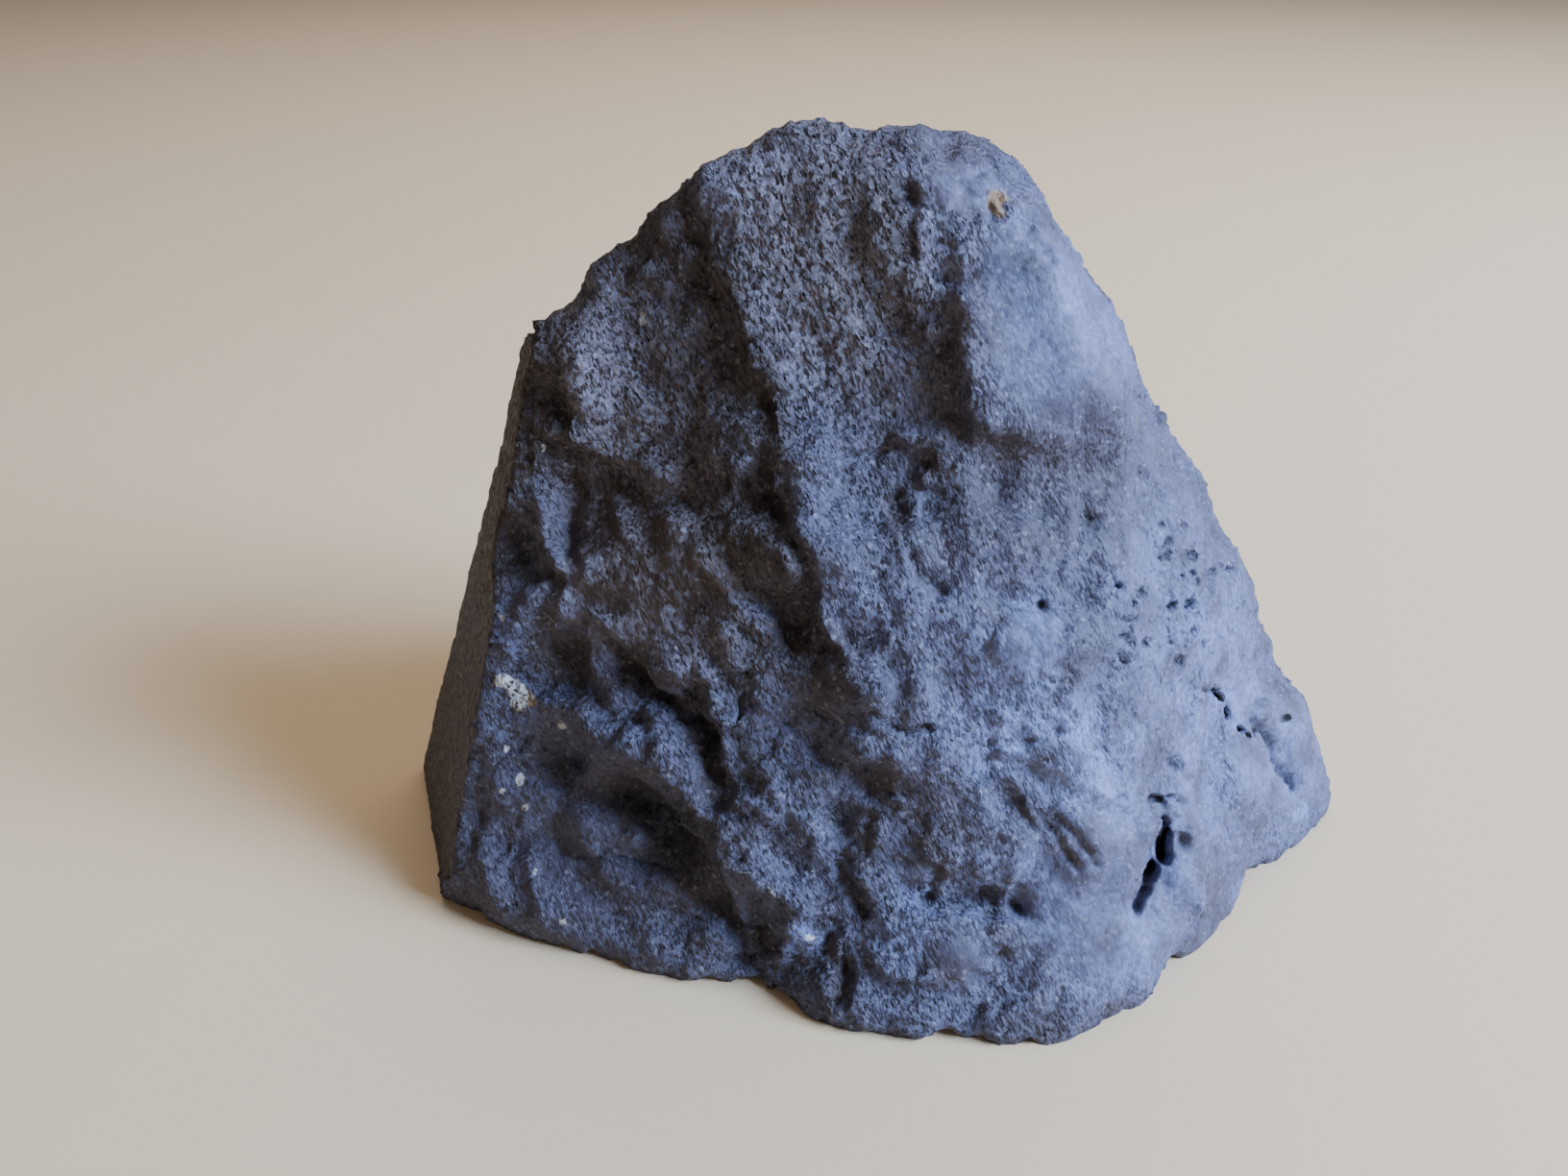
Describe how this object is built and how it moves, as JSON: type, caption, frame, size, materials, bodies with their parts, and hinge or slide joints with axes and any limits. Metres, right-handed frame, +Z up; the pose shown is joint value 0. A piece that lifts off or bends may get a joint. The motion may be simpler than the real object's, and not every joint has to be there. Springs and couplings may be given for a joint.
{
  "type": "rough dark stone specimen",
  "caption": "Rough, dark, grainy stone with ridges, flutes and pits, which stands upright on a flat sawn base.",
  "frame": {"origin": "under the middle of the stone, on the surface that it stands on", "axes": "+X along the broad rough face, to the right for someone who looks at it; -Y out of that face; +Z up"},
  "size_m": [0.1188, 0.074, 0.0809],
  "materials": {
    "stone": "dry and matt, with a grainy broken surface and small pale grains"
  },
  "bodies": {
    "root": {"stone": "stone"}
  },
  "joints": []
}
